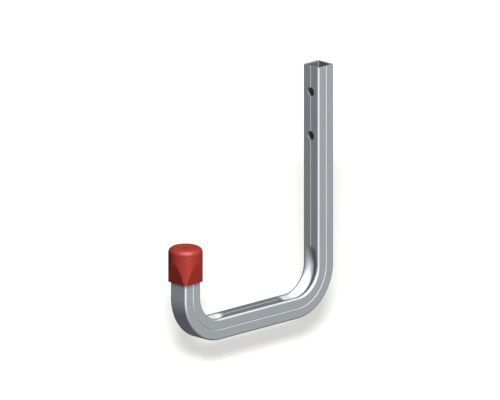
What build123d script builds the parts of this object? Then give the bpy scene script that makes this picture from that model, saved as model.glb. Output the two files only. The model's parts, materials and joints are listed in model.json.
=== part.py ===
from build123d import *
from math import cos, radians, sin, sqrt
import os

# Wall hook, millimetres, +Z up.
# The wall is the plane Y = 0 and the hook reaches out along -Y.
# The origin is on the back face of the wall leg, half way between the two screw holes.

# Square steel tube
TUBE_SIDE = 20.0            # outside width
TUBE_WALL = 2.0
TUBE_CORNER_R = 2.0         # outside corner
BORE_CORNER_R = 0.5         # corner inside the tube
GROOVE_WIDTH = 1.1          # drawn line along the middle of three faces
GROOVE_DEPTH = 0.35

# Shape of the hook
HOOK_HEIGHT = 233.0         # underside of the run to the open top end
LEG_SPAN = 172.0            # axis of the wall leg to axis of the front leg
BEND_R = 35.5               # on the tube's axis
FRONT_LEG_HEIGHT = 89.0     # underside of the run to the front leg's end

# Screw holes, right through the wall leg
HOLE_D = 8.5
HOLE_PITCH = 41.5
HOLE_TO_TOP = 24.5          # upper hole to the open end

# Dent that the bending tool leaves in the inner face of each bend
DENT_DEPTH = 4.4            # round the bend
DENT_NOSE_R = 6.0           # half-round nose of the tool
DENT_RUNOUT = 20.0          # degrees at which the dent runs out past the bend
TOOL_OVERRUN = 5.0          # the tool goes on in the open air

# Push-on plastic cap
CAP_CLEARANCE = 0.1         # each side of the tube
CAP_LIP = 1.9               # wall at the middle of a flat, at the mouth
CAP_CORNER_WALL = 2.4       # wall at the tube's corners
CAP_GRIP = 28.5             # length of tube inside the cap
CAP_CROWN = 4.4             # plastic above the tube's end
CAP_EDGE_R = 5.0            # rounded top edge
FLAT_RISE = 19.9            # height at which the sloping flats meet the round side
DIMPLE_D = 8.0              # gate mark in the middle of the top
DIMPLE_DEPTH = 0.5

# Levels and places that follow from the sizes above
half_side = TUBE_SIDE / 2
top_z = HOLE_PITCH / 2 + HOLE_TO_TOP
underside_z = top_z - HOOK_HEIGHT
run_axis_z = underside_z + half_side
front_end_z = underside_z + FRONT_LEG_HEIGHT
wall_axis_y = -half_side
front_axis_y = wall_axis_y - LEG_SPAN
bend_centres = (
    (wall_axis_y - BEND_R, run_axis_z + BEND_R),
    (front_axis_y + BEND_R, run_axis_z + BEND_R),
)


def at(y, z):
    """A point on the hook's middle plane."""
    return Vector(0, y, z)


def tube_path():
    """The tube's axis: down the wall leg, along the run and up the front leg."""
    corners = (
        at(wall_axis_y, top_z),
        at(wall_axis_y, run_axis_z),
        at(front_axis_y, run_axis_z),
        at(front_axis_y, front_end_z),
    )
    return FilletPolyline(*corners, radius=BEND_R)


def end_plane():
    """Across the open top end, with its second axis towards the inside of the hook."""
    return Plane(origin=at(wall_axis_y, top_z), x_dir=(1, 0, 0), z_dir=(0, 0, -1))


def grooved_section():
    """Rounded square with a vee groove in the inner face and in both sides."""
    section = RectangleRounded(TUBE_SIDE, TUBE_SIDE, TUBE_CORNER_R)
    mouth = GROOVE_WIDTH / 2
    vee = Polygon(
        (half_side - GROOVE_DEPTH, 0), (half_side, -mouth),
        (half_side + GROOVE_DEPTH, 0), (half_side, mouth), align=None,
    )
    for turn in (0, 90, 180):
        section -= Rot(Z=turn) * vee
    return section


def bore_section():
    """The hollow inside the tube."""
    bore_side = TUBE_SIDE - 2 * TUBE_WALL
    return RectangleRounded(bore_side, bore_side, BORE_CORNER_R)


def dent_path(centre, side):
    """Axis of the bending tool's nose: round the bend, then straight off at the run-out angle.

    side is +1 for the bend at the wall leg and -1 for the bend at the front leg.
    """
    crest_r = BEND_R - half_side + DENT_DEPTH
    axis_r = crest_r - DENT_NOSE_R
    runout = radians(DENT_RUNOUT)
    ramp = (crest_r * cos(runout) - (BEND_R - half_side)) / sin(runout) + TOOL_OVERRUN
    reach = axis_r * cos(runout) - ramp * sin(runout)
    drop = axis_r * sin(runout) + ramp * cos(runout)
    nose = axis_r * cos(runout)
    slip = axis_r * sin(runout)
    middle = axis_r / sqrt(2)
    y0, z0 = centre
    ramp_up = Line(at(y0 + side * reach, z0 + drop), at(y0 + side * nose, z0 + slip))
    bend = ThreePointArc(
        at(y0 + side * nose, z0 + slip),
        at(y0 + side * middle, z0 - middle),
        at(y0 - side * slip, z0 - nose),
    )
    ramp_out = Line(at(y0 - side * slip, z0 - nose), at(y0 - side * drop, z0 - reach))
    return Wire([ramp_up.edge(), bend.edge(), ramp_out.edge()])


def dent_tool(centre, side, nose_r):
    """Round bar along the dent's path."""
    path = dent_path(centre, side)
    start = Plane(origin=path @ 0, z_dir=path % 0)
    return sweep(start * Circle(nose_r), path=path)


def hook_tube():
    """The whole bent tube: its wall keeps its thickness where the dents press it in."""
    path = tube_path()
    outside = sweep(end_plane() * grooved_section(), path=path)
    hollow = sweep(end_plane() * bore_section(), path=path)
    for centre, side in zip(bend_centres, (1, -1)):
        outside -= dent_tool(centre, side, DENT_NOSE_R)
        hollow -= dent_tool(centre, side, DENT_NOSE_R + TUBE_WALL)
    tube = outside - hollow
    drill = Rot(X=90) * Cylinder(HOLE_D / 2, 3 * TUBE_SIDE)
    for z in (HOLE_PITCH / 2, -HOLE_PITCH / 2):
        tube -= Pos(0, wall_axis_y, z) * drill
    return tube


def end_cap():
    """Round cap whose lower sides slope in to four flats round the square tube."""
    socket_half = half_side + CAP_CLEARANCE
    socket_corner_r = TUBE_CORNER_R + CAP_CLEARANCE
    corner_reach = socket_half * sqrt(2) - socket_corner_r * (sqrt(2) - 1)
    cap_r = corner_reach + CAP_CORNER_WALL
    cap_height = CAP_GRIP + CAP_CROWN
    lip_half = socket_half + CAP_LIP
    spread = (cap_r - lip_half) / FLAT_RISE

    body = Cylinder(cap_r, cap_height, align=(Align.CENTER, Align.CENTER, Align.MIN))
    body = fillet(body.edges().group_by(Axis.Z)[-1], CAP_EDGE_R)
    top_half = lip_half + spread * cap_height
    flats = loft([
        Rectangle(2 * lip_half, 2 * lip_half),
        Pos(0, 0, cap_height) * Rectangle(2 * top_half, 2 * top_half),
    ])
    cap = body & flats
    socket = extrude(RectangleRounded(2 * socket_half, 2 * socket_half, socket_corner_r), CAP_GRIP)
    cap -= socket
    ball_r = ((DIMPLE_D / 2) ** 2 + DIMPLE_DEPTH ** 2) / (2 * DIMPLE_DEPTH)
    cap -= Pos(0, 0, cap_height + ball_r - DIMPLE_DEPTH) * Sphere(ball_r)
    return Pos(0, front_axis_y, front_end_z - CAP_GRIP) * cap


os.makedirs("parts", exist_ok=True)
nodes = {"hook_tube": hook_tube(), "end_cap": end_cap()}
for name, shape in nodes.items():
    export_step(shape, f"parts/{name}.step")
    box = shape.bounding_box()
    print(f"{name}: {len(shape.solids())} solid, {shape.volume:.0f} mm3, "
          f"{box.size.X:.2f} x {box.size.Y:.2f} x {box.size.Z:.2f} mm")
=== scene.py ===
# %% [markdown]
# # A wall hook of bent square tube
# This notebook dresses a wall hook: a square steel tube bent twice into a J, zinc plated, with a
# red plastic cap on its tip. The model of the hook is already there, at its real size. It is loaded
# first, as a frame that nothing here moves, and every surface made below is measured against it.

# %% Load the model
import json
import bpy
import numpy as np
from mathutils import Matrix, Vector


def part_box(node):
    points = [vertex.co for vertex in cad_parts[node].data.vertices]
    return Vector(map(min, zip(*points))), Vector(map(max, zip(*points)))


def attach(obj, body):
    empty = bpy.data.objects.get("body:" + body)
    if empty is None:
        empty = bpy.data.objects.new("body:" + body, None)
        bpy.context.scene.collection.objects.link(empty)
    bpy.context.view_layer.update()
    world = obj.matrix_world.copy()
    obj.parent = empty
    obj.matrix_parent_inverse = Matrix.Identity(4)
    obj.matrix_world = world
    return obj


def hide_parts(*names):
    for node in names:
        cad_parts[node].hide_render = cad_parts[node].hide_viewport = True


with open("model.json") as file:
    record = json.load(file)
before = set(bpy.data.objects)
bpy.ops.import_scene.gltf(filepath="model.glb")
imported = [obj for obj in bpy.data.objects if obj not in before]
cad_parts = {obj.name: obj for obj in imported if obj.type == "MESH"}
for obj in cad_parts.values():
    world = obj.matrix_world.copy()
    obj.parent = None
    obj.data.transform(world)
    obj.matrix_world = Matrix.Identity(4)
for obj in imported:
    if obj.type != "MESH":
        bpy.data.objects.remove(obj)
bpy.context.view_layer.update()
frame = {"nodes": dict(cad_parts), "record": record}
MM = 0.001
print("nodes:", sorted(frame["nodes"]))

# %% [markdown]
# ## Sizes
# What the frame can tell is read from it: the tube's side is the width of its box, and its lowest
# and highest points give the run and the open end. The rest are the tube maker's and the moulder's
# sizes, in millimetres, turned to metres once so that every formula below is in Blender's own unit.

# %% Read the tube and the cap from the frame
tube_low, tube_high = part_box("hook_tube")
cap_low, cap_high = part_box("end_cap")
screws = next(m for m in frame["record"]["mounts"] if m["name"] == "wall_screws")

SIDE = tube_high.x - tube_low.x
HALF = SIDE / 2
HOLE_R = screws["dims"]["hole_r_mm"] * MM
HOLE_PITCH = screws["dims"]["spacing_y_mm"] * MM
CAP_R = (cap_high.x - cap_low.x) / 2
CAP_HEIGHT = cap_high.z - cap_low.z
print(f"tube {SIDE:.4f} wide, holes {HOLE_R:.5f} in radius and {HOLE_PITCH:.4f} apart")
print(f"cap {CAP_R:.5f} in radius and {CAP_HEIGHT:.4f} high")

# %% Sizes that the box can't tell
WALL = 2.0 * MM
CORNER_R = 2.0 * MM
BORE_CORNER_R = 1.2 * MM
BEND_R = 35.5 * MM          # on the tube's axis
EDGE_R = 0.15 * MM          # saw cuts and drilled holes are deburred
CROWN = 4.4 * MM            # plastic above the tube's end
FRONT_END_Z = cap_high.z - CROWN
print(f"wall {WALL / MM:.1f} mm, bends {BEND_R / MM:.1f} mm, front leg ends at z {FRONT_END_Z:.4f}")

# %% [markdown]
# ## The tube's axis
# A bent tube is a section carried along a path, so the path comes first. It is a straight line down
# the wall leg, a quarter turn, the run, another quarter turn and the short front leg. It could be
# drawn as a curve with a bevel, but a formula is exact: a distance along the tube goes in, and a
# point and a direction come out, for a whole array of distances at once.

# %% Path along the middle of the tube
wall_leg = tube_high.z - (tube_low.z + HALF + BEND_R)
run = (tube_high.y - HALF) - (tube_low.y + HALF) - 2 * BEND_R
front_leg = FRONT_END_Z - (tube_low.z + HALF + BEND_R)
quarter = np.pi / 2 * BEND_R
bend_starts = (wall_leg, wall_leg + quarter + run)
tube_length = wall_leg + run + front_leg + 2 * quarter


def axis_at(s):
    """Point (y, z) of the axis and the direction to the hook's inside, at distances s from the top.

    Each bend has turned by (s - its start) / BEND_R, held between nothing and a quarter turn. Down
    the leg z falls with s, a bend adds BEND_R times sine and one minus cosine of its turn, and the
    run takes y away.
    """
    first, second = (np.clip((s - start) / BEND_R, 0, np.pi / 2) for start in bend_starts)
    down = np.clip(s, 0, wall_leg)
    along = np.clip(s - wall_leg - quarter, 0, run)
    up = np.clip(s - bend_starts[1] - quarter, 0, front_leg)
    y = tube_high.y - HALF - BEND_R * (1 - np.cos(first)) - along - BEND_R * np.sin(second)
    z = tube_high.z - down - BEND_R * np.sin(first) + BEND_R * (1 - np.cos(second)) + up
    turned = first + second
    return y, z, -np.cos(turned), np.sin(turned)


print(f"tube length {tube_length:.4f} m, run {run:.4f} m")

# %% [markdown]
# ## Grooves and dents
# Three faces of the tube have a fine drawn groove along their middle. In each bend the bending tool
# has pressed a smooth scoop into the inner face: a trough with a bell-shaped section, that starts
# at a blunt tip before the bend and is deepest in its middle. Sculpting them would be slow and
# uneven. Both are worked out instead as a depth below the flat face, at every point of the grid at
# once, so light rolls over them without a seam.

# %% Sizes of the grooves and dents
GROOVE_HALF = 0.5 * MM
GROOVE_DEPTH = 0.31 * MM
DENT_HALF = 7.6 * MM        # half the width of a dent, with its soft rim
DENT_POWER = 1.9            # how narrow its bell is: the power of the cosine across it
DENT_NOSE = 3.85 * MM       # how deep the tool's nose goes
DENT_REACH = 17.5 * MM      # from the end of a bend out to the dent's tip
DENT_FULL = 6.5 * MM        # and out to where the nose is all the way in
LEG_REACH = 19.0 * MM       # the same two on the wall leg, where the tool eased in more slowly
LEG_FULL = -2.0 * MM        # so that its nose is all the way in only inside the bend
DENT_SAG = 0.85 * MM        # how much deeper the dent gets further into the bend
DENT_SAG_LENGTH = 24 * MM
print(f"groove {2 * GROOVE_HALF / MM:.1f} mm wide, dent {2 * DENT_HALF / MM:.1f} mm wide")


# %% Depth of a groove and of a dent
def step_up(low, high, x):
    """Smooth step: nothing below low, one above high, and 3t squared minus 2t cubed between."""
    t = np.clip((x - low) / (high - low), 0, 1)
    return t * t * (3 - 2 * t)


def groove_depth(across):
    """A vee with a rounded bottom and lips: GROOVE_DEPTH times the square of a cosine."""
    return GROOVE_DEPTH * np.cos(np.pi / 2 * np.clip(across / GROOVE_HALF, -1, 1)) ** 2


def dent_depth(across, s):
    """How far the bending tool has pressed the inner face in.

    Along the middle the depth is DENT_NOSE times a smooth step, which rises from DENT_REACH to
    DENT_FULL before the bend, or from LEG_REACH to LEG_FULL on the wall leg, plus DENT_SAG times a
    second step inside the bend. Off the middle it falls with the cosine to the power DENT_POWER.
    """
    inside = np.maximum(*[np.minimum(s - start, start + quarter - s) for start in bend_starts])
    on_leg = s < wall_leg + quarter / 2
    reach = np.where(on_leg, LEG_REACH, DENT_REACH)
    full = np.where(on_leg, LEG_FULL, DENT_FULL)
    nose = DENT_NOSE * step_up(-reach, -full, inside)
    sag = DENT_SAG * step_up(0, DENT_SAG_LENGTH, inside)
    return (nose + sag) * np.cos(np.pi / 2 * np.clip(across / DENT_HALF, -1, 1)) ** DENT_POWER


deepest = dent_depth(0, wall_leg + quarter / 2)
print(f"dent depth in the middle of the bend {deepest / MM:.2f} mm")

# %% [markdown]
# ## One closed grid for the whole tube
# The section is a rounded square. Its points are set by a share along each face, so that the outer
# and the inner section have the same number of them. The grid goes down the outside, over the sawn
# end, back up the inside and over the other end to where it began. It closes on itself both ways,
# so it has no seam or hole.

# %% Shares round the section
FACE_POINTS = 51
CORNER_STEPS = 8
GROOVE_POINTS = 11
PAST_LIP = 1.25             # one point past each lip keeps the face flat beside the groove

groove_share = GROOVE_HALF / (HALF - CORNER_R)
groove_points = np.linspace(-PAST_LIP, PAST_LIP, GROOVE_POINTS) * groove_share
inner_face = np.union1d(np.linspace(-1, 1, FACE_POINTS), groove_points)
plain_face = np.array([-1, -0.95, -0.5, 0, 0.5, 0.95, 1])
side_face = np.union1d(plain_face, groove_points)

turns = []
shares = []
for turn, face in enumerate((inner_face, side_face, plain_face, side_face)):
    turns.append(np.full(len(face) + CORNER_STEPS - 1, turn))
    shares.append(np.concatenate([face, 1 + np.arange(1, CORNER_STEPS) / CORNER_STEPS]))
turns = np.concatenate(turns)
shares = np.concatenate(shares)
print("points round the section:", len(shares))


# %% Section of the tube
def section(inset):
    """Rounded square that lies inset inside the outer one.

    Share -1 to 1 runs along a face, and 1 to 2 round the corner after it. The corner's radius goes
    from the outer to the bore's radius as inset goes through the wall. Each face comes as its own
    pair (along it, out of it), so that a groove or dent can lower it before turn_face sets it in
    its place.
    """
    corner = CORNER_R + (BORE_CORNER_R - CORNER_R) * inset / WALL
    flat = HALF - inset - corner
    angle = np.clip(shares - 1, 0, 1) * np.pi / 2
    along = np.clip(shares, -1, 1) * flat + corner * np.sin(angle)
    return along, HALF - inset - corner * (1 - np.cos(angle))


def turn_face(along, rise):
    """Turns a face by its quarter turns: (across the hook, towards its inside)."""
    cos, sin = np.cos(turns * np.pi / 2), np.sin(turns * np.pi / 2)
    return along * cos + rise * sin, rise * cos - along * sin


# %% Stations along the tube
RIM_GUARD = 0.4 * MM        # one ring just below a rim, so that its shading doesn't bleed further


def stations(fine, coarse):
    """Distances along the tube: at most fine apart in bends and dents, and coarse elsewhere."""
    dents = [(start - LEG_REACH, start + quarter + DENT_REACH) for start in bend_starts]
    ends = np.clip([0, *dents[0], *dents[1], tube_length], 0, tube_length)
    pieces = [(RIM_GUARD, tube_length - RIM_GUARD)]
    for low, high, spacing in zip(ends[:-1], ends[1:], (coarse, fine, coarse, fine, coarse)):
        pieces.append(np.linspace(low, high, max(2, int(np.ceil((high - low) / spacing)) + 1)))
    every = np.unique(np.concatenate(pieces))
    return every[(every >= RIM_GUARD) & (every <= tube_length - RIM_GUARD)]


def rim(s_end, inward):
    """The sawn end, from outside to inside: two quarter rounds of EDGE_R and a flat between."""
    quarter_turn = np.linspace(0, np.pi / 2, 5)
    out = EDGE_R * (1 - np.cos(quarter_turn))
    back = EDGE_R * (1 - np.sin(quarter_turn))
    insets = np.concatenate([out, (WALL - out)[::-1]])
    return s_end + inward * np.concatenate([back, back[::-1]]), insets


# %% The walk down the outside and back up the inside
outside = stations(fine=0.7 * MM, coarse=9 * MM)
inside = stations(fine=1.6 * MM, coarse=20 * MM)[::-1]
front_rim = rim(tube_length, -1)
top_rim = rim(0, 1)
walk_s = np.concatenate([outside, front_rim[0], inside, top_rim[0][::-1]])
walk_inset = np.concatenate([
    np.zeros(len(outside)), front_rim[1], np.full(len(inside), WALL), top_rim[1][::-1],
])
print("rings along the tube:", len(walk_s))

# %% [markdown]
# ## From grid to mesh
# A grid of points becomes quads by pairing neighbouring rows and columns, with the last joined to
# the first where the surface closes. The functions below do this for every piece. The last one can
# also lay a map over the surface. The tube's map counts real metres, so a pattern on it keeps its
# real size and follows the bends.

# %% Grid helpers
def grid_quads(rows, columns, close_rows):
    """Point numbers of each quad, and the row and column where it starts. Columns always close."""
    starts = np.arange(rows if close_rows else rows - 1)
    i, j = (part.ravel() for part in np.meshgrid(starts, np.arange(columns), indexing="ij"))
    below, beside = (i + 1) % rows, (j + 1) % columns
    row, next_row = i * columns, below * columns
    return np.stack([row + j, row + beside, next_row + beside, next_row + j], 1), i, j


def end_fans(rows, columns):
    """Triangles from a grid's first and last row to two poles, the points after its own."""
    pole = rows * columns
    first = np.arange(columns)[::-1]
    last = (rows - 1) * columns + np.arange(columns)
    return np.concatenate([
        np.stack([first, np.roll(first, -1), np.full(columns, pole)], 1),
        np.stack([last, np.roll(last, -1), np.full(columns, pole + 1)], 1),
    ])


def signed_volume(points, faces):
    """Volume inside the faces, each fanned into triangles. It is negative if they face inwards."""
    a = points[faces[:, 0]]
    pairs = [(faces[:, k], faces[:, k + 1]) for k in range(1, faces.shape[1] - 1)]
    return sum(np.einsum("ij,ij->i", a, np.cross(points[b], points[c])).sum() for b, c in pairs) / 6


def new_piece(name, points, face_sets, corner_map=None):
    """A smooth mesh object from points and arrays of faces, turned to face outwards.

    corner_map holds a place on the surface map for each corner of the first array of faces.
    """
    inside_out = sum(signed_volume(points, faces) for faces in face_sets) < 0
    turned = [faces[:, ::-1] if inside_out else faces for faces in face_sets]
    mesh = bpy.data.meshes.new(name)
    mesh.from_pydata(points.tolist(), [], [face for faces in turned for face in faces.tolist()])
    mesh.shade_smooth()
    if corner_map is not None:
        corner_map = corner_map[:, ::-1] if inside_out else corner_map
        places = np.zeros((len(mesh.loops), 2), np.float32)
        places[:corner_map.shape[0] * corner_map.shape[1]] = corner_map.reshape(-1, 2)
        mesh.uv_layers.new(name="surface").uv.foreach_set("vector", places.ravel())
    piece = bpy.data.objects.new(name, mesh)
    bpy.context.scene.collection.objects.link(piece)
    print(f"{name}: {len(points)} points, {len(mesh.polygons)} faces")
    return piece


# %% Points of the tube
inset = walk_inset[:, None]
along, rise = section(inset)
on_face = shares <= 1
groove = np.where(on_face & (turns != 2), groove_depth(along), 0) * (1 - inset / WALL)
dent = np.where(on_face & (turns == 0), dent_depth(along, walk_s[:, None]), 0)
across, inward = turn_face(along, rise - np.maximum(groove, dent))

y, z, in_y, in_z = (part[:, None] for part in axis_at(walk_s))
points = np.stack([across, y + inward * in_y, z + inward * in_z], -1)
quads, i, j = grid_quads(*points.shape[:2], close_rows=True)
print("grid of the tube:", points.shape[:2])

# %% Make the tube, with its surface map and its three finishes
outline = np.stack(turn_face(*section(0)), -1)
girth = np.concatenate([[0], np.cumsum(np.linalg.norm(np.roll(outline, -1, 0) - outline, axis=1))])
lengthwise = np.concatenate([walk_s + walk_inset, [walk_s[0]]])
corner_map = np.stack([
    np.stack([girth[j], lengthwise[i]], 1), np.stack([girth[j + 1], lengthwise[i]], 1),
    np.stack([girth[j + 1], lengthwise[i + 1]], 1), np.stack([girth[j], lengthwise[i + 1]], 1),
], 1)
tube = new_piece("bent_tube", points.reshape(-1, 3), [quads], corner_map)
in_bore = (walk_inset[i] == WALL) & (walk_inset[(i + 1) % len(walk_s)] == WALL)
PLATED, BARE_AND_SHADED, DRILLED = 0, 1, 2
tube.data.polygons.foreach_set("material_index", np.where(in_bore, BARE_AND_SHADED, PLATED).astype(np.int32))
for name in ("plated", "bare_and_shaded", "drilled"):
    tube.data.materials.append(bpy.data.materials.new(name))
print("faces in the bore:", int(in_bore.sum()))

# %% [markdown]
# ## Screw holes
# Two holes are drilled right through the wall leg. A Boolean takes away two drill shapes, each a
# profile turned round the hole's axis that widens at the outer faces, so that every hole gets the
# small rounded lip of a deburred edge. The drill has the tube's own material slots, and the cut
# takes the slot of the drill's faces with it. The result is baked into the mesh and the drill is
# thrown away.

# %% Shape of the drill
AIR = 1 * MM                # how far the drill stands out of the tube
DRILL_POINTS = 72
LIP_START = 0.3             # radians of the quarter round that are left out at the face


def drill_points(height):
    """Profile turned round the hole's axis: HOLE_R, and a quarter round wider at each face.

    The quarter round stops a little short of the face, and a cone carries it on into the air, so
    that no edge of the drill lies in the face itself.
    """
    lip = np.linspace(LIP_START, np.pi / 2, 6)
    depth = np.concatenate([[-AIR], EDGE_R * (1 - np.cos(lip))])
    radius = HOLE_R + np.concatenate([[EDGE_R + AIR / 4], EDGE_R * (1 - np.sin(lip))])
    y_profile = np.concatenate([tube_high.y - SIDE + depth, (tube_high.y - depth)[::-1]])
    r_profile = np.concatenate([radius, radius[::-1]])
    angle = np.linspace(0, 2 * np.pi, DRILL_POINTS, endpoint=False)
    x = r_profile[:, None] * np.cos(angle)
    z = height + r_profile[:, None] * np.sin(angle)
    return np.stack([x, np.broadcast_to(y_profile[:, None], x.shape), z], -1)


def add_drill(name, height):
    """The turned profile as a closed mesh: a fan at each end, and a map, as the tube has one."""
    profile = drill_points(height)
    points = np.concatenate([profile.reshape(-1, 3), profile[[0, -1]].mean(1)])
    quads = grid_quads(*profile.shape[:2], close_rows=False)[0]
    return new_piece(name, points, [quads, end_fans(*profile.shape[:2])], points[quads][:, :, :2])


# %% Drill the holes
SHARP_ANGLE = np.radians(55)
drills = [add_drill("upper_drill", HOLE_PITCH / 2), add_drill("lower_drill", -HOLE_PITCH / 2)]
for drill in drills:
    for material in tube.data.materials:
        drill.data.materials.append(material)
    slots = np.full(len(drill.data.polygons), DRILLED, np.int32)
    drill.data.polygons.foreach_set("material_index", slots)
    cut = tube.modifiers.new(drill.name, "BOOLEAN")
    cut.operation = "DIFFERENCE"
    cut.solver = "EXACT"
    cut.object = drill

drilled = bpy.data.meshes.new_from_object(tube.evaluated_get(bpy.context.evaluated_depsgraph_get()))
tube.modifiers.clear()
tube.data = drilled
for drill in drills:
    bpy.data.objects.remove(drill)
tube.data.set_sharp_from_angle(angle=SHARP_ANGLE)
tube.visible_glossy = False            # the metal mirrors the light tent alone
print("tube triangles:", sum(len(p.vertices) - 2 for p in tube.data.polygons))

# %% [markdown]
# ## The cap
# The cap is one soft moulding: a round crown whose lower sides slope in to four flats that grip the
# square tube. Seen from one side, a flat meets the round body in an arch. Cutting a cylinder with
# four planes would give it, but with hard edges. Here the cap is a radius worked out for each
# direction and height: the smaller of the round body and the sloping flat, with a small blend
# between the two where the mould is not sharp.

# %% Sizes of the cap
CLEARANCE = 0.1 * MM                   # each side of the tube
LIP = 1.9 * MM                         # wall at the mouth, in the middle of a flat
FLAT_RISE = 19.9 * MM                  # height at which a flat meets the round side
CROWN_EDGE_R = 5.0 * MM
MOUTH_EDGE_R = 0.35 * MM
BLEND = 0.3 * MM                       # how soft the line is where they meet
DIMPLE_R = 4.0 * MM                    # gate mark in the middle of the top
DIMPLE_RIM_R = DIMPLE_R * 1.2          # where its soft rim ends
DIMPLE_DEPTH = 0.5 * MM
SOCKET_HALF = HALF + CLEARANCE
SOCKET_CORNER_R = CORNER_R + CLEARANCE
LIP_HALF = SOCKET_HALF + LIP
CAP_GRIP = CAP_HEIGHT - CROWN          # length of tube inside the cap
print(f"socket {2 * SOCKET_HALF / MM:.1f} mm wide and {CAP_GRIP / MM:.1f} mm deep")


# %% Radius of the cap, outside and in the socket
def off_flat(angle):
    """Angle from the middle of the nearest of the four flats."""
    return (angle + np.pi / 4) % (np.pi / 2) - np.pi / 4


def outer_radius(angle, height):
    """Smaller of the round body and the sloping flat, blended where they are closer than BLEND."""
    spread = (CAP_R - LIP_HALF) / FLAT_RISE
    flat = (LIP_HALF + spread * height) / np.cos(off_flat(angle))
    near = np.maximum(BLEND - np.abs(flat - CAP_R), 0) / BLEND
    return np.minimum(flat, CAP_R) - near ** 2 * BLEND / 4


def socket_radius(angle):
    """From the axis to a rounded square, at an angle: to its flat, or to the arc of its corner."""
    a = np.abs(off_flat(angle))
    c = SOCKET_HALF - SOCKET_CORNER_R
    flat = SOCKET_HALF / np.cos(a)
    along = c * (np.cos(a) + np.sin(a))
    arc = along + np.sqrt(np.maximum(SOCKET_CORNER_R ** 2 - c ** 2 * (1 - np.sin(2 * a)), 0))
    return np.where(SOCKET_HALF * np.tan(a) < c, flat, arc)


# %% Rings of the cap, from the socket's floor down to its mouth and round the lip
CAP_POINTS = 240
angle = np.linspace(0, 2 * np.pi, CAP_POINTS, endpoint=False)
socket = socket_radius(angle)
lip_turns = np.linspace(0, np.pi / 2, 5)
rings = []
for share in np.linspace(0.15, 1, 6):                            # the socket's floor
    rings.append((socket * share, CAP_GRIP))
for height in np.linspace(CAP_GRIP, MOUTH_EDGE_R, 12)[1:]:       # its sides
    rings.append((socket, height))
for turn in lip_turns[1:]:                                       # inner round of the lip
    rings.append((socket + MOUTH_EDGE_R * (1 - np.cos(turn)), MOUTH_EDGE_R * (1 - np.sin(turn))))
for turn in lip_turns:                                           # outer round of the lip
    inset = MOUTH_EDGE_R * (1 - np.sin(turn))
    height = MOUTH_EDGE_R * (1 - np.cos(turn))
    rings.append((outer_radius(angle, height) - inset, height))
print("rings up to the lip:", len(rings))

# %% Rings up the outside, over the crown and into the dimple
for height in np.linspace(MOUTH_EDGE_R, CAP_HEIGHT - CROWN_EDGE_R, 60)[1:]:
    rings.append((outer_radius(angle, height), height))
for turn in np.linspace(0, np.pi / 2, 25)[1:]:                   # the crown's round edge
    radius = CAP_R - CROWN_EDGE_R * (1 - np.cos(turn))
    rings.append((np.full_like(angle, radius), CAP_HEIGHT - CROWN_EDGE_R * (1 - np.sin(turn))))
for radius in np.linspace(CAP_R - CROWN_EDGE_R, DIMPLE_RIM_R, 8)[1:]:      # its flat top
    rings.append((np.full_like(angle, radius), CAP_HEIGHT))
for radius in np.linspace(DIMPLE_RIM_R, 0, 20)[1:-1]:            # the dimple
    bowl = DIMPLE_DEPTH * np.cos(np.pi / 2 * radius / DIMPLE_RIM_R) ** 2
    rings.append((np.full_like(angle, radius), CAP_HEIGHT - bowl))
print("rings of the cap:", len(rings))

# %% Make the cap
r = np.array([ring[0] for ring in rings])
h = np.array([ring[1] for ring in rings])[:, None] + 0 * r
centre_y = (cap_low.y + cap_high.y) / 2
points = np.stack([r * np.cos(angle), centre_y + r * np.sin(angle), cap_low.z + h], -1)
quads = grid_quads(*r.shape, close_rows=False)[0]
fans = end_fans(*r.shape)
poles = np.array([[0, centre_y, cap_low.z + CAP_GRIP], [0, centre_y, cap_high.z - DIMPLE_DEPTH]])
cap = new_piece("push_on_cap", np.concatenate([points.reshape(-1, 3), poles]), [quads, fans])
cap.data.set_sharp_from_angle(angle=SHARP_ANGLE)
cap.visible_glossy = False
print(f"sides sharper than {np.degrees(SHARP_ANGLE):.0f} degrees keep their edge")

# %% [markdown]
# ## Finishes
# Each finish is a Principled shader with typical values for the real material, and patterns that
# change its colour, roughness and height a little. Colours are written as they are read off a
# screen and turned to linear light by one function. One small helper adds a node with its settings
# and links.

# %% Colour and node helpers
def linear(code):
    """sRGB hex to linear red, green, blue and alpha.

    Each part is divided by 12.92 near black, and is a power of 2.4 above that.
    """
    srgb = np.array([int(code[k:k + 2], 16) for k in (1, 3, 5)]) / 255
    return (*np.where(srgb <= 0.04045, srgb / 12.92, ((srgb + 0.055) / 1.055) ** 2.4).tolist(), 1.0)


def add(tree, kind, sockets=None, **settings):
    """Adds a node. sockets sets its inputs by name or number, to a value or an output to link."""
    node = tree.nodes.new(kind)
    for name, value in settings.items():
        setattr(node, name, value)
    for name, value in (sockets or {}).items():
        if isinstance(value, bpy.types.NodeSocket):
            tree.links.new(value, node.inputs[name])
        else:
            node.inputs[name].default_value = value
    return node


def new_material(name):
    """An empty node material and the tree to fill."""
    material = bpy.data.materials.new(name)
    material.use_nodes = True
    material.node_tree.nodes.clear()
    return material, material.node_tree


# %% [markdown]
# ### Bright zinc plate on drawn steel
# The tube is drawn and welded steel, plated with bright zinc. Drawing leaves faint lines along the
# tube, and the plating gives a cool grey that clouds a little from place to place. It is a metal:
# its colour is its reflection, so it stays light grey here and takes its darks and lights from what
# stands round it. The lines follow the surface map, so they run round the bends with the tube.
# Just below the cap the plate is painted darker, as painted shade for the shadow of the cap's lip:
# a dark band, worked out from the distance along the tube, that fades within a few millimetres.

# %% Colour of the plate
DRAWN_LINE = 0.6 * MM       # real drawing lines are a tenth of this, and would not show
DRAWN_LENGTH = 45 * MM
CLOUD = 14 * MM

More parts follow.
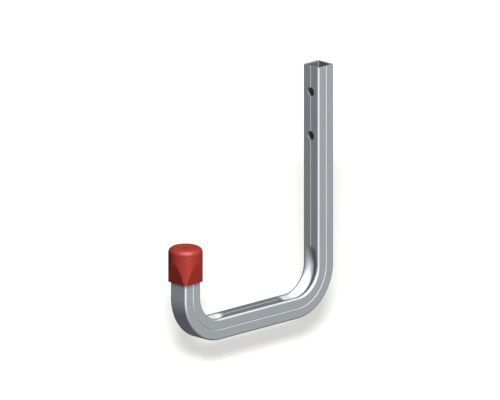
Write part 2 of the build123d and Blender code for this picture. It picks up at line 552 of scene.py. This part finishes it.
zinc, tree = new_material("zinc_plated_drawn_steel")
surface = add(tree, "ShaderNodeUVMap", uv_map="surface").outputs["UV"]
stretched = add(tree, "ShaderNodeMapping", {
    "Vector": surface, "Scale": (1 / DRAWN_LINE, 1 / DRAWN_LENGTH, 1),
}).outputs[0]
lines = add(tree, "ShaderNodeTexNoise", {"Vector": stretched, "Scale": 1.0, "Detail": 3.0})
place = add(tree, "ShaderNodeTexCoord").outputs["Object"]
clouds = add(tree, "ShaderNodeTexNoise", {"Vector": place, "Scale": 1 / CLOUD, "Detail": 4.0})
clean = add(tree, "ShaderNodeMix", {
    "Factor": clouds.outputs["Fac"], 6: linear("#DAE0E5"), 7: linear("#E0E6EB"),
}, data_type="RGBA")
print(f"drawn lines {DRAWN_LINE / MM:.1f} mm apart, clouds {CLOUD / MM:.0f} mm across")

# %% Painted shade under the cap
CAP_SHADE_WIDTH = 5 * MM
CAP_SHADE_POWER = 1.5           # how late it darkens on its way to the cap
CAP_SHADE_SHARE = 0.85          # how much of the plate it hides there

along = add(tree, "ShaderNodeSeparateXYZ", {0: surface}).outputs["Y"]
cap_begins = tube_length - CAP_GRIP
near_cap = add(tree, "ShaderNodeMapRange", {
    "Value": along, "From Min": cap_begins - CAP_SHADE_WIDTH, "From Max": cap_begins,
})
cap_shade_curve = add(tree, "ShaderNodeMath", {0: near_cap.outputs[0], 1: CAP_SHADE_POWER}, operation="POWER")
painted_cap_shade = add(tree, "ShaderNodeMath", {0: cap_shade_curve.outputs[0], 1: CAP_SHADE_SHARE}, operation="MULTIPLY")
# painted shade: the plate darkens towards #141618 just below the cap's lip, where the cap's shadow
# falls
tone = add(tree, "ShaderNodeMix", {
    "Factor": painted_cap_shade.outputs[0], 6: clean.outputs[2], 7: linear("#141618"),
}, data_type="RGBA")
print(f"grime begins {CAP_SHADE_WIDTH / MM:.0f} mm from the cap")

# %% Shine and relief of the plate
rough = add(tree, "ShaderNodeMapRange", {
    "Value": lines.outputs["Fac"], "From Min": 0.3, "From Max": 0.7, "To Min": 0.12, "To Max": 0.15,
})
relief = add(tree, "ShaderNodeBump", {
    "Height": lines.outputs["Fac"], "Strength": 0.03, "Distance": 0.05 * MM,
})
metal = add(tree, "ShaderNodeBsdfPrincipled", {
    "Base Color": tone.outputs[2], "Metallic": 1.0, "Roughness": rough.outputs[0],
    "Normal": relief.outputs[0],
})
add(tree, "ShaderNodeOutputMaterial", {"Surface": metal.outputs[0]})
tube.data.materials[PLATED] = zinc
print("zinc nodes:", len(tree.nodes))

# %% [markdown]
# ### Bare steel and painted shade inside the tube
# The plating bath hardly reaches into a long tube. Just inside the open end there is still a smooth
# grey plate, whose inner corner draws a thin light line. Then it fades to the rough skin of the
# drawn steel, which shows through the screw holes. Both the plate and the skin are coloured much
# darker than the steel is, as painted shade for the inside of the tube, and they get darker further
# in. A second material slot gives this finish to the faces of the bore alone, and the distance from
# the end sets its colour and its shine.

# %% Bare steel, darkened as painted shade
SCALE = 3 * MM              # patches of mill scale
PLATED_DEPTH = 6 * MM       # how far the plate reaches in
DARK_DEPTH = 16 * MM    # and where it has gone, and the bore is at its darkest
PLATED_ROUGH = 0.16

bare_and_shaded, tree = new_material("bare_steel_with_painted_shade")
surface = add(tree, "ShaderNodeUVMap", uv_map="surface").outputs["UV"]
along = add(tree, "ShaderNodeSeparateXYZ", {0: surface}).outputs["Y"]
place = add(tree, "ShaderNodeTexCoord").outputs["Object"]
patches = add(tree, "ShaderNodeTexNoise", {"Vector": place, "Scale": 1 / SCALE, "Detail": 4.0})
# painted shade: these near-black greys stand in for the shade deep inside the tube, as well as for
# the dark mill scale
skin_and_shade = add(tree, "ShaderNodeMix", {
    "Factor": patches.outputs["Fac"], 6: linear("#2C2D2E"), 7: linear("#3A3B3C"),
}, data_type="RGBA")
depth = add(tree, "ShaderNodeMapRange", {
    "Value": along, "From Min": PLATED_DEPTH, "From Max": DARK_DEPTH,
}, interpolation_type="SMOOTHSTEP")
# painted shade: even the plate inside the end is a darker grey than the plate outside
tone = add(tree, "ShaderNodeMix", {
    "Factor": depth.outputs[0], 6: linear("#8E9193"), 7: skin_and_shade.outputs[2],
}, data_type="RGBA")
rough = add(tree, "ShaderNodeMapRange", {
    "Value": patches.outputs["Fac"], "To Min": 0.4, "To Max": 0.5,
}).outputs[0]
rough = add(tree, "ShaderNodeMix", {"Factor": depth.outputs[0], 2: PLATED_ROUGH, 3: rough})
dull = add(tree, "ShaderNodeBsdfPrincipled", {
    "Base Color": tone.outputs[2], "Metallic": 1.0, "Roughness": rough.outputs[0],
})
add(tree, "ShaderNodeOutputMaterial", {"Surface": dull.outputs[0]})
tube.data.materials[BARE_AND_SHADED] = bare_and_shaded
print("bare steel nodes:", len(tree.nodes))

# %% [markdown]
# ### Drilled steel
# The holes are drilled through the wall, and the cut is duller and darker than the plate. It is a
# thin ring that the picture shows as one light sliver, so it takes a plain grey metal with a little
# change in shine.

# %% Drilled steel
drilled_steel, tree = new_material("drilled_steel")
place = add(tree, "ShaderNodeTexCoord").outputs["Object"]
marks = add(tree, "ShaderNodeTexNoise", {"Vector": place, "Scale": 1 / MM, "Detail": 2.0})
rough = add(tree, "ShaderNodeMapRange", {
    "Value": marks.outputs["Fac"], "To Min": 0.35, "To Max": 0.5,
})
cut = add(tree, "ShaderNodeBsdfPrincipled", {
    "Base Color": linear("#8E9092"), "Metallic": 1.0, "Roughness": rough.outputs[0],
})
add(tree, "ShaderNodeOutputMaterial", {"Surface": cut.outputs[0]})
tube.data.materials[DRILLED] = drilled_steel
print("drilled steel nodes:", len(tree.nodes))

# %% [markdown]
# ### Moulded red plastic
# The cap is moulded in a soft coloured plastic. The mould is lightly sparked, so the skin has a
# fine grain and a satin shine, and the colour is the same right through. The grain is finer than a
# pixel of the picture, so it is drawn a little coarser than it is, and only as height.

# %% Red plastic
GRAIN = 0.5 * MM
FLOW = 9 * MM               # the colour changes a little where the plastic flowed

red, tree = new_material("moulded_red_plastic")
place = add(tree, "ShaderNodeTexCoord").outputs["Object"]
grain = add(tree, "ShaderNodeTexNoise", {"Vector": place, "Scale": 1 / GRAIN, "Detail": 2.0})
flow = add(tree, "ShaderNodeTexNoise", {"Vector": place, "Scale": 1 / FLOW, "Detail": 2.0})
tone = add(tree, "ShaderNodeMix", {
    "Factor": flow.outputs["Fac"], 6: linear("#C34238"), 7: linear("#C9463C"),
}, data_type="RGBA")
relief = add(tree, "ShaderNodeBump", {
    "Height": grain.outputs["Fac"], "Strength": 0.1, "Distance": 0.05 * MM,
})
plastic = add(tree, "ShaderNodeBsdfPrincipled", {
    "Base Color": tone.outputs[2], "Roughness": 0.36, "IOR": 1.5, "Normal": relief.outputs[0],
})
add(tree, "ShaderNodeOutputMaterial", {"Surface": plastic.outputs[0]})
cap.data.materials.append(red)
print("red plastic nodes:", len(tree.nodes))

# %% [markdown]
# ## Fasten the pieces
# A surface is finished when it belongs to the model. Each piece is parented to the body that
# carries it and stands in for the plain solid of the same part, which is hidden. Nothing moves on
# this hook, so both ride the one body.

# %% Fasten both pieces to the frame
for piece, node, slot in (
    (tube, "hook_tube", "zinc_plated_steel"), (cap, "end_cap", "red_plastic"),
):
    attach(piece, "root")
    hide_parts(node)
    print(f"{piece.name} stands for {node}")

# %% [markdown]
# ## Camera
# The picture is a parallel view, as in a catalogue: upright lines stay upright and nothing shrinks
# with distance. So the camera is orthographic, at the picture's angle, with its scale from the size
# that one millimetre has in the picture. One known point of the hook is placed on its own pixel.

# %% Camera
PHOTO_SIZE = (500, 400)
PIXELS_PER_MM = 1.0935
ANCHOR_PIXEL = (326.21, 307.39)          # where the wall plane meets the hook's underside
AZIMUTH = np.radians(45.0)
ELEVATION = np.radians(15.57)
DISTANCE = 1.5

right = Vector((np.cos(AZIMUTH), np.sin(AZIMUTH), 0))
level = np.cos(ELEVATION)
back = Vector((np.sin(AZIMUTH) * level, -np.cos(AZIMUTH) * level, np.sin(ELEVATION)))
up = back.cross(right)
anchor = Vector((0, tube_high.y, tube_low.z))
metres_per_pixel = MM / PIXELS_PER_MM
aim = anchor + right * (PHOTO_SIZE[0] / 2 - ANCHOR_PIXEL[0]) * metres_per_pixel
aim += up * (ANCHOR_PIXEL[1] - PHOTO_SIZE[1] / 2) * metres_per_pixel

camera = bpy.data.objects.new("camera", bpy.data.cameras.new("camera"))
camera.data.type = "ORTHO"
camera.data.ortho_scale = PHOTO_SIZE[0] * metres_per_pixel
turned = Matrix((right, up, back)).transposed().to_4x4()
camera.matrix_world = Matrix.Translation(aim + back * DISTANCE) @ turned
bpy.context.scene.collection.objects.link(camera)
bpy.context.scene.camera = camera
print(f"camera sees {camera.data.ortho_scale:.4f} m across")

# %% [markdown]
# ## Floor and lamps
# The hook hangs just above a plain pale floor. Lamps are suns, so their light is even everywhere,
# and a wide angle makes a sun as soft as a large softbox. Each light is told what it lights: two
# for the floor, of which one draws the soft shadow, and four for the cap: the key light, a wide
# softbox for the highlight on its rim, a faint red bounce from below that streaks its round front,
# and a fill from behind. The metal needs none, because it shows what stands round it.

# %% Floor
FLOOR_GAP = 68 * MM
FLOOR_HALF = 4.0

floor_z = tube_low.z - FLOOR_GAP
corners = np.array([[-1, -1], [1, -1], [1, 1], [-1, 1]]) * FLOOR_HALF
floor_mesh = bpy.data.meshes.new("floor")
floor_mesh.from_pydata([(x, y, floor_z) for x, y in corners.tolist()], [], [(0, 1, 2, 3)])
floor = bpy.data.objects.new("floor", floor_mesh)
bpy.context.scene.collection.objects.link(floor)
paint, tree = new_material("matt_white_paint")
matt = add(tree, "ShaderNodeBsdfDiffuse", {"Color": linear("#FAFAFA")})
add(tree, "ShaderNodeOutputMaterial", {"Surface": matt.outputs[0]})
floor_mesh.materials.append(paint)
floor.visible_glossy = False
floor.visible_diffuse = False
print(f"floor at z {floor_z:.4f}")

# %% What each light may shine on
def lit_apart(name, thing):
    """A collection with one object in it, which a light can be told to shine on alone."""
    collection = bpy.data.collections.new(name)
    collection.objects.link(thing)
    print(f"{name} holds {thing.name}")
    return collection


lit_floor = lit_apart("lit_floor", floor)
lit_cap = lit_apart("lit_cap", cap)
lit_tube = lit_apart("lit_tube", tube)


# %% Lamps
def add_sun(name, receivers, azimuth, elevation, angle, irradiance, colour=(1, 1, 1),
            shadow=True, matt=True, shine=False):
    """A sun that shines on the receivers alone, from azimuth, counted from +X towards +Y.

    angle is how wide it looks, in degrees. shadow says if things in its way darken it, matt if it
    lights the surface, and shine if it draws a highlight.
    """
    lamp = bpy.data.lights.new(name, "SUN")
    lamp.energy = irradiance
    lamp.angle = np.radians(angle)
    lamp.color = colour
    lamp.use_shadow = shadow
    sun = bpy.data.objects.new(name, lamp)
    a, e = np.radians(azimuth), np.radians(elevation)
    towards = Vector((np.cos(a) * np.cos(e), np.sin(a) * np.cos(e), np.sin(e)))
    sun.rotation_euler = towards.to_track_quat("Z", "Y").to_euler()
    sun.location = towards
    bpy.context.scene.collection.objects.link(sun)
    sun.light_linking.receiver_collection = receivers
    sun.visible_diffuse = matt
    sun.visible_glossy = shine
    print(f"{name} from {azimuth}, {elevation}")


add_sun("shadow_lamp", lit_floor, azimuth=-45, elevation=21, angle=4.5, irradiance=4.56)
add_sun("floor_fill", lit_floor, azimuth=-45, elevation=90, angle=10, irradiance=2.007,
        colour=(1.0, 0.995, 0.95), shadow=False)
add_sun("key", lit_cap, azimuth=-28, elevation=46, angle=40, irradiance=3.22)
add_sun("softbox", lit_cap, azimuth=-34, elevation=43, angle=70, irradiance=9.0,
        colour=(1, 0.8, 0.72), matt=False, shine=True)
add_sun("red_bounce", lit_cap, azimuth=-19, elevation=-15.6, angle=25, irradiance=0.95,
        colour=(1, 0.12, 0.08), shadow=False, matt=False, shine=True)
add_sun("back_fill", lit_cap, azimuth=135, elevation=0, angle=55, irradiance=1.8)

# %% [markdown]
# ## World
# The background should be plain white to the camera, in reflections and through glass, but white
# light from all sides would wash out the cap's shape. Light Path tells which kind of ray is asking:
# those three see full white, and the soft light that reaches a surface stays faint. A white picture
# behind the hook could do the first part, but it would have to be moved for every other view.

# %% World
FAINT = 0.04                # how much of the white lights a matt surface

world = bpy.data.worlds.new("studio")
bpy.context.scene.world = world
world.use_nodes = True
tree = world.node_tree
tree.nodes.clear()
seen = add(tree, "ShaderNodeLightPath")
straight = add(tree, "ShaderNodeMath", {
    0: seen.outputs["Is Camera Ray"], 1: seen.outputs["Is Glossy Ray"],
}, operation="MAXIMUM")
straight = add(tree, "ShaderNodeMath", {
    0: straight.outputs[0], 1: seen.outputs["Is Transmission Ray"],
}, operation="MAXIMUM")
strength = add(tree, "ShaderNodeMapRange", {
    "Value": straight.outputs[0], "To Min": FAINT, "To Max": 1.0,
}).outputs[0]
background = add(tree, "ShaderNodeBackground", {"Color": (1, 1, 1, 1), "Strength": strength})
add(tree, "ShaderNodeOutputWorld", {"Surface": background.outputs[0]})
print("world nodes:", len(tree.nodes))

# %% [markdown]
# ## Light tent
# Bright metal shows its surroundings, so a photographer wraps it in a tent of white cloth and hangs
# grey panels where a face should read darker. The tent here is a large sphere that only reflections
# see. Its brightness is worked out for each direction, with numpy, and stored on its points.

# %% Brightness of the tent in each direction
PLATE_SHINE = 0.76          # share of the light that the zinc sends back
CEILING = 1.3
CEILING_FADE = 0.524        # the ceiling fades in from this much below its edge to as much above it
LAMP = 0.7


def glow(d, azimuth, elevation, tightness):
    """Round glow: e to the power of tightness times (cosine of the angle off its middle - 1)."""
    a, e = np.radians(azimuth), np.radians(elevation)
    middle = (np.cos(a) * np.cos(e), np.sin(a) * np.cos(e), np.sin(e))
    return np.exp(tightness * (d @ middle - 1))


def tent_light(d):
    """Brightness of the tent in directions d, seen from the hook.

    The walls are grey by a straight-line formula: brighter towards the camera, the right and the
    top. They are never dimmer than a faint glow that grows towards the floor. The ceiling fades in
    round a height that is lower towards the camera. A soft lamp glows beside the camera, a little
    below it, and draws the light lines along the tube's corners.
    """
    front = (d[:, 0] - d[:, 1]) / np.sqrt(2)
    right = (d[:, 0] + d[:, 1]) / np.sqrt(2)
    up = d[:, 2]
    walls = 0.326 + 0.198 * front + 0.092 * right + 0.201 * up - 0.021 * front * right
    walls = np.maximum(walls, 0.055 - 0.047 * up)
    edge = 0.68 - 0.577 * front - 0.325 * right - 0.028 * front * right
    ceiling = step_up(edge - CEILING_FADE, edge + CEILING_FADE, up)
    lamp = LAMP * glow(d, azimuth=-35, elevation=-15, tightness=15)
    return (walls + (CEILING - walls) * ceiling + lamp) / PLATE_SHINE


# %% Make the tent
TENT_RADIUS = 3.0
TENT_STEPS = 90             # from pole to pole, and twice as many round
BLUE_UNDER = 0.3            # dimmer cloth than this is a little bluer

polar = np.linspace(0, np.pi, TENT_STEPS + 1)[1:-1, None]
turn = np.linspace(0, 2 * np.pi, 2 * TENT_STEPS, endpoint=False)[None, :]
level = np.sin(polar)
places = np.broadcast_arrays(level * np.cos(turn), level * np.sin(turn), np.cos(polar))
points = np.stack(places, -1)
quads = grid_quads(*points.shape[:2], close_rows=False)[0]
fans = end_fans(*points.shape[:2])
directions = np.concatenate([points.reshape(-1, 3), [[0, 0, 1], [0, 0, -1]]])
tent = new_piece("light_tent", directions * TENT_RADIUS, [quads, fans])
light = tent_light(directions).astype(np.float32)
brightness = tent.data.attributes.new("glow", "FLOAT", "POINT")
brightness.data.foreach_set("value", light)
print(f"tent light from {light.min():.3f} to {light.max():.3f}")

# %% Cloth of the tent
cloth, tree = new_material("tent_cloth")
glow_value = add(tree, "ShaderNodeAttribute", attribute_name="glow").outputs["Fac"]
lightness = add(tree, "ShaderNodeMath", {
    0: glow_value, 1: BLUE_UNDER,
}, operation="DIVIDE", use_clamp=True)
tint = add(tree, "ShaderNodeMix", {
    "Factor": lightness.outputs[0], 6: (0.93, 0.94, 1.1, 1), 7: (1, 1, 1, 1),
}, data_type="RGBA")
emission = add(tree, "ShaderNodeEmission", {"Color": tint.outputs[2], "Strength": glow_value})
add(tree, "ShaderNodeOutputMaterial", {"Surface": emission.outputs[0]})
cloth.cycles.emission_sampling = "NONE"
tent.data.materials.append(cloth)
for ray in ("camera", "diffuse", "transmission", "volume_scatter", "shadow"):
    setattr(tent, f"visible_{ray}", False)
tent.light_linking.receiver_collection = lit_tube

# %% [markdown]
# ## Close the notebook
# The colours are shown plainly, with no film look over them.

# %% Plain colours
bpy.context.scene.view_settings.view_transform = "Standard"
